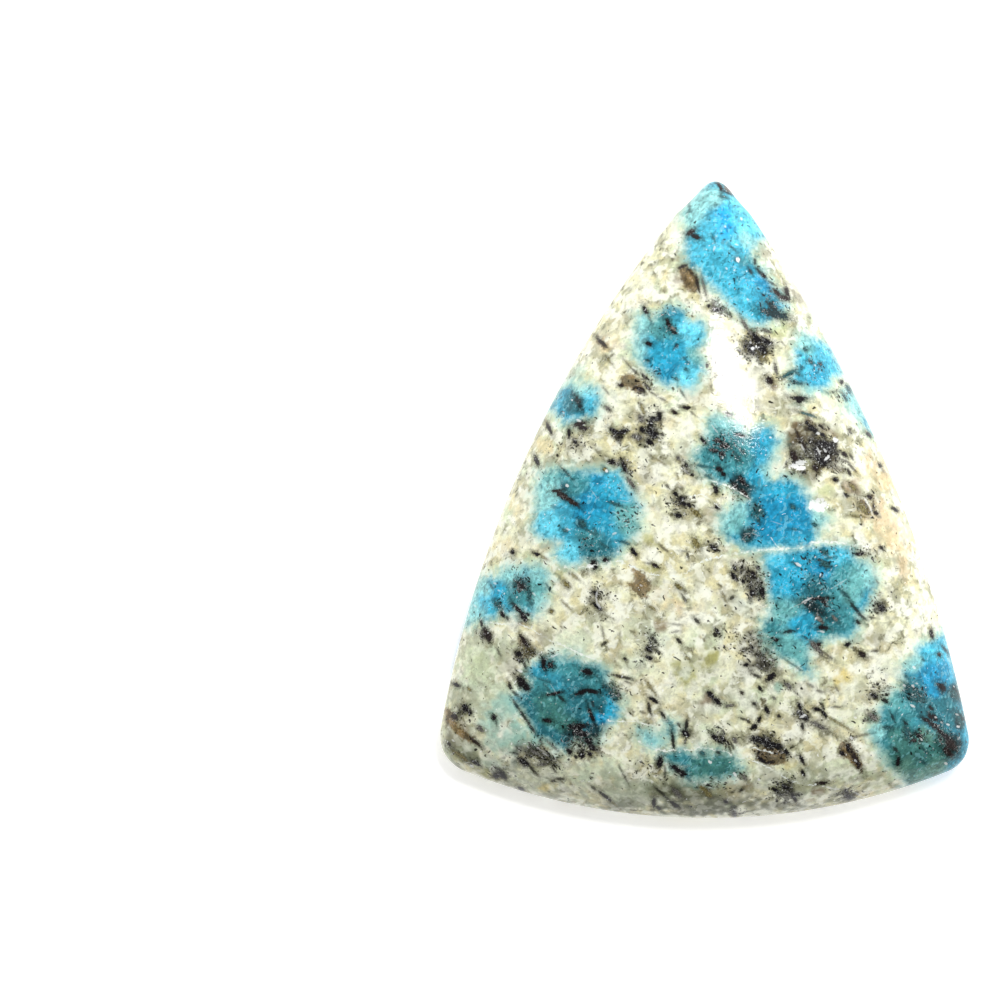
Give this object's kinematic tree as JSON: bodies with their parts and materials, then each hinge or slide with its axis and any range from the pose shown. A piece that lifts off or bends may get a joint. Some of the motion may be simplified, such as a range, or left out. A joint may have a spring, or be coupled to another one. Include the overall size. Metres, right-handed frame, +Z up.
{
  "type": "azurite in quartz triangular cabochon",
  "caption": "Polished triangular stone with a flat back and a low dome, cream and grey granite with round blue azurite spots, to be set in jewellery or laid on a surface.",
  "frame": {"origin": "centre of the outline's bounding box, on the flat back", "axes": "+Z up out of the flat back through the dome; +Y towards the narrow tip; +X to the right seen from above"},
  "size_m": [0.0234, 0.0282, 0.005],
  "materials": {
    "stone": "polished cream feldspar and grey quartz with black mica and blue azurite, satin-ground on the flat back"
  },
  "bodies": {
    "root": {"cabochon": "stone"}
  },
  "joints": []
}
